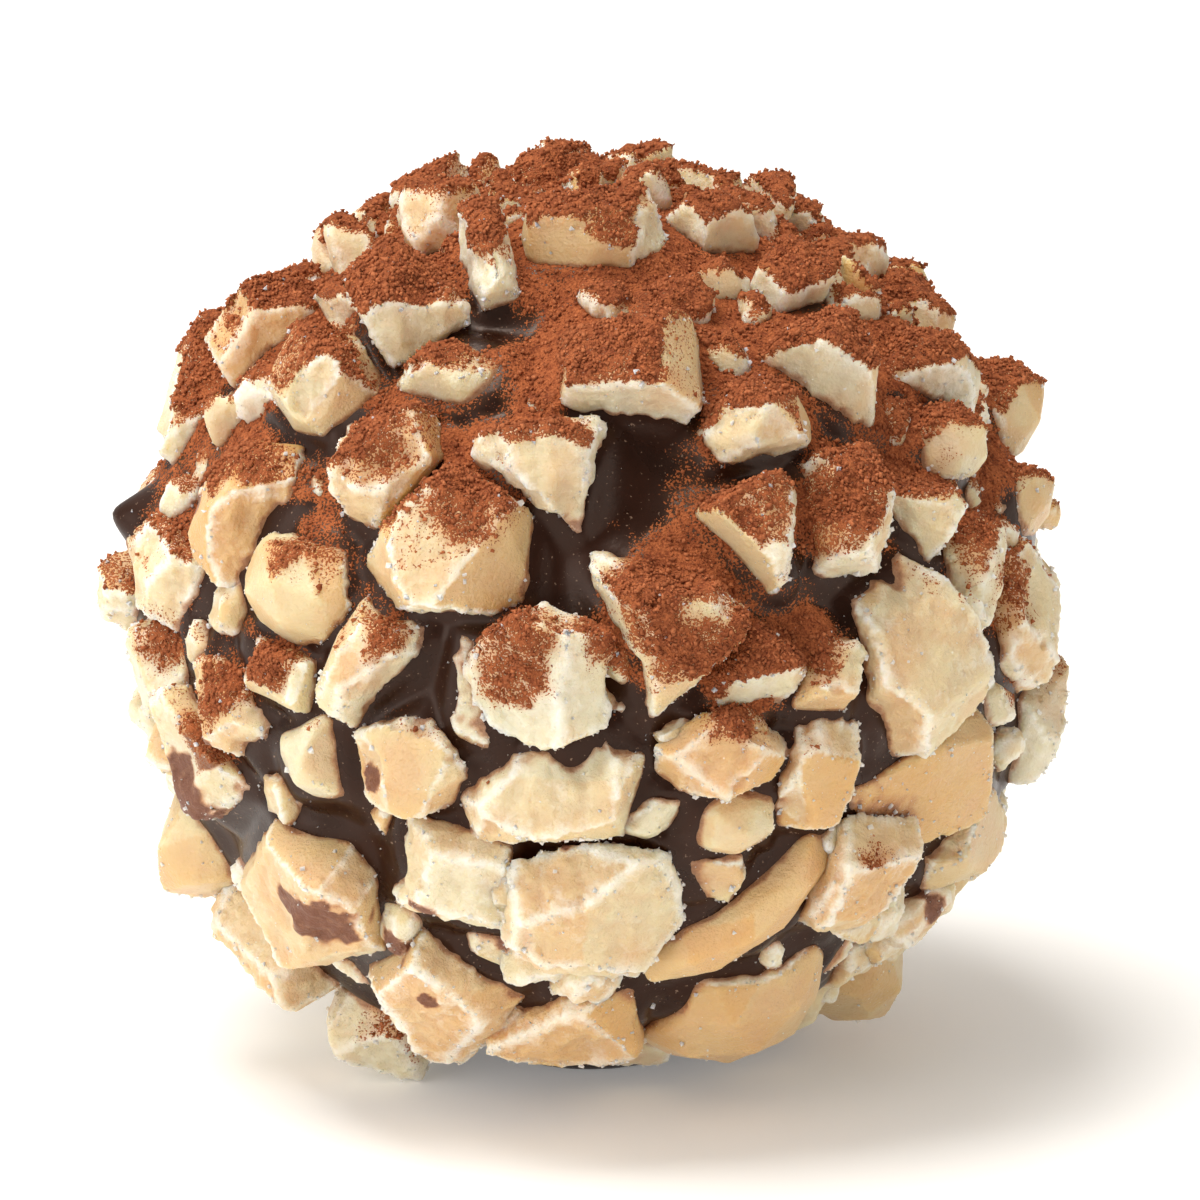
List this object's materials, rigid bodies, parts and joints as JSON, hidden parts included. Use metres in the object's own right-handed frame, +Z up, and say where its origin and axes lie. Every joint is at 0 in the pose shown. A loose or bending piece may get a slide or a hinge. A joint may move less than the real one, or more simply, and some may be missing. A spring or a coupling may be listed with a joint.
{
  "type": "chocolate truffle",
  "caption": "Round dark chocolate truffle rolled in chopped blanched nuts and dusted from above with cocoa.",
  "frame": {"origin": "on the surface that the truffle stands on, under the middle of its outline", "axes": "+Z up out of the top, -Y towards the front, +X to the right seen from the front"},
  "size_m": [0.0296, 0.0288, 0.0282],
  "materials": {
    "chocolate": "dark chocolate, satin gloss",
    "nut": "blanched nut, matte where broken, faintly waxy on the skin side"
  },
  "bodies": {
    "root": {"coated_ball": "chocolate", "nut_01": "nut", "nut_02": "nut", "nut_03": "nut", "nut_04": "nut", "nut_05": "nut", "nut_06": "nut", "nut_07": "nut", "nut_08": "nut", "nut_09": "nut", "nut_10": "nut", "nut_11": "nut", "nut_12": "nut", "nut_13": "nut", "nut_14": "nut", "nut_15": "nut", "nut_16": "nut", "nut_17": "nut", "nut_18": "nut", "nut_19": "nut", "nut_20": "nut", "nut_21": "nut", "nut_22": "nut", "nut_23": "nut", "nut_24": "nut", "nut_25": "nut", "nut_26": "nut", "nut_27": "nut", "nut_28": "nut", "nut_29": "nut", "nut_30": "nut", "nut_31": "nut", "nut_32": "nut", "nut_33": "nut", "nut_34": "nut", "nut_35": "nut", "nut_36": "nut", "nut_37": "nut", "nut_38": "nut", "nut_39": "nut", "nut_40": "nut", "nut_41": "nut", "nut_42": "nut", "nut_43": "nut", "nut_44": "nut", "nut_45": "nut", "nut_46": "nut", "nut_47": "nut", "nut_48": "nut", "nut_49": "nut", "nut_50": "nut", "nut_51": "nut", "nut_52": "nut", "nut_53": "nut", "nut_54": "nut", "nut_55": "nut", "nut_56": "nut", "nut_57": "nut", "nut_58": "nut", "nut_59": "nut"}
  },
  "joints": []
}
